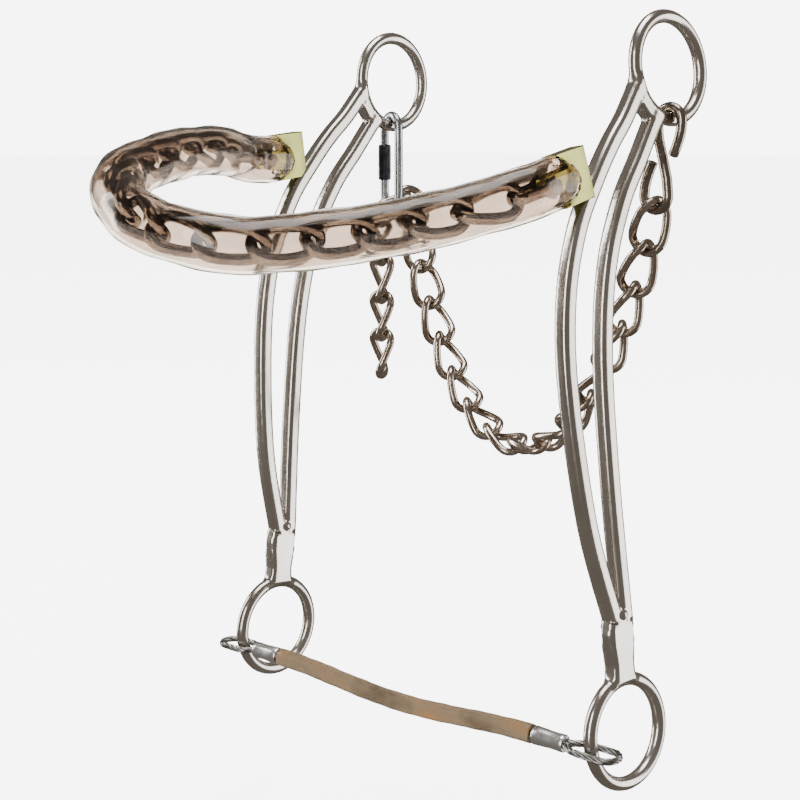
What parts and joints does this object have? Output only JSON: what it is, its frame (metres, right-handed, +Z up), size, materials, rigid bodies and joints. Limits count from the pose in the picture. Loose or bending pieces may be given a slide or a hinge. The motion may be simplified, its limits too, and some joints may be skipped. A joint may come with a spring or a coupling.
{
  "type": "bitless hackamore",
  "caption": "Mechanical hackamore: slotted steel cheek pieces with rings, chain noseband in clear tubing, curb chain on an S-hook and quick link, cable rein spreader.",
  "frame": {"origin": "midway between the centres of the two headstall rings", "axes": "+Z up as it hangs on a bridle, -Y forward towards the horse's nose, +X towards the horse's near (left) side"},
  "size_m": [0.1708, 0.1857, 0.2355],
  "materials": {
    "cheek_steel": "polished",
    "lug_steel": "polished",
    "clear_tube": "clear, glossy",
    "rivet_steel": "satin",
    "noseband_chain": "polished",
    "hook_steel": "polished",
    "quick_link_zinc": "zinc plated, satin",
    "nut_black": "satin",
    "curb_chain": "polished, warm",
    "wire_rope": "stranded",
    "spreader_plastic": "clear, aged brown",
    "ferrule_aluminium": "crimped, satin"
  },
  "bodies": {
    "cheeks": {"near_cheek": "cheek_steel", "far_cheek": "cheek_steel", "near_lug": "lug_steel", "far_lug": "lug_steel"},
    "noseband": {"noseband_tube": "clear_tube", "near_rivet": "rivet_steel", "far_rivet": "rivet_steel", "near_shackle": "noseband_chain", "far_shackle": "noseband_chain", "noseband_link_01": "noseband_chain", "noseband_link_02": "noseband_chain", "noseband_link_03": "noseband_chain", "noseband_link_04": "noseband_chain", "noseband_link_05": "noseband_chain", "noseband_link_06": "noseband_chain", "noseband_link_07": "noseband_chain", "noseband_link_08": "noseband_chain", "noseband_link_09": "noseband_chain", "noseband_link_10": "noseband_chain", "noseband_link_11": "noseband_chain", "noseband_link_12": "noseband_chain", "noseband_link_13": "noseband_chain", "noseband_link_14": "noseband_chain", "noseband_link_15": "noseband_chain"},
    "curb": {"s_hook": "hook_steel", "quick_link": "quick_link_zinc", "caught_link": "curb_chain", "curb_link_01": "curb_chain", "curb_link_02": "curb_chain", "curb_link_03": "curb_chain", "curb_link_04": "curb_chain", "curb_link_05": "curb_chain", "curb_link_06": "curb_chain", "curb_link_07": "curb_chain", "curb_link_08": "curb_chain", "curb_link_09": "curb_chain", "curb_link_10": "curb_chain", "curb_link_11": "curb_chain", "curb_link_12": "curb_chain", "curb_link_13": "curb_chain", "curb_link_14": "curb_chain", "curb_link_15": "curb_chain", "curb_link_16": "curb_chain"},
    "nut": {"sleeve_nut": "nut_black"},
    "tail_1": {"tail_link_1": "curb_chain"},
    "tail_2": {"tail_link_2": "curb_chain"},
    "tail_3": {"tail_link_3": "curb_chain"},
    "tail_4": {"tail_link_4": "curb_chain"},
    "spreader": {"spreader_cable": "wire_rope", "spreader_sleeve": "spreader_plastic", "near_ferrule": "ferrule_aluminium", "far_ferrule": "ferrule_aluminium"}
  },
  "joints": [
    {"name": "noseband_hinge", "type": "hinge", "parent": "cheeks", "child": "noseband", "pos_m": [0.0664, -0.06175, -0.03447], "axis": [0.9989, 0.0036, -0.0473], "range_deg": [-20, 20]},
    {"name": "curb_swing", "type": "hinge", "parent": "cheeks", "child": "curb", "pos_m": [0, 0, 0], "axis": [0.9996, -0.025, 0.0094], "range_deg": [-8, 14]},
    {"name": "nut_slide", "type": "slide", "parent": "curb", "child": "nut", "axis": [0, 0, 1], "range_m": [0, 0.0055]},
    {"name": "tail_swing_1", "type": "hinge", "parent": "curb", "child": "tail_1", "pos_m": [-0.06792, -0.00044, -0.05383], "axis": [0.3566, -0.9335, 0.037], "range_deg": [-20, 8]},
    {"name": "tail_swing_2", "type": "hinge", "parent": "tail_1", "child": "tail_2", "pos_m": [-0.06792, -0.00044, -0.06833], "axis": [-0.342, 0.9397, 0], "range_deg": [-8, 30]},
    {"name": "tail_swing_3", "type": "hinge", "parent": "tail_2", "child": "tail_3", "pos_m": [-0.06792, -0.00044, -0.08283], "axis": [-0.342, 0.9397, 0], "range_deg": [-30, 30]},
    {"name": "tail_swing_4", "type": "hinge", "parent": "tail_3", "child": "tail_4", "pos_m": [-0.06792, -0.00044, -0.09733], "axis": [-0.342, 0.9397, 0], "range_deg": [-30, 30]},
    {"name": "spreader_swing", "type": "hinge", "parent": "cheeks", "child": "spreader", "pos_m": [0.01527, -0.05444, -0.19691], "axis": [0.9902, 0.1369, -0.0276], "range_deg": [-15, 25]}
  ]
}
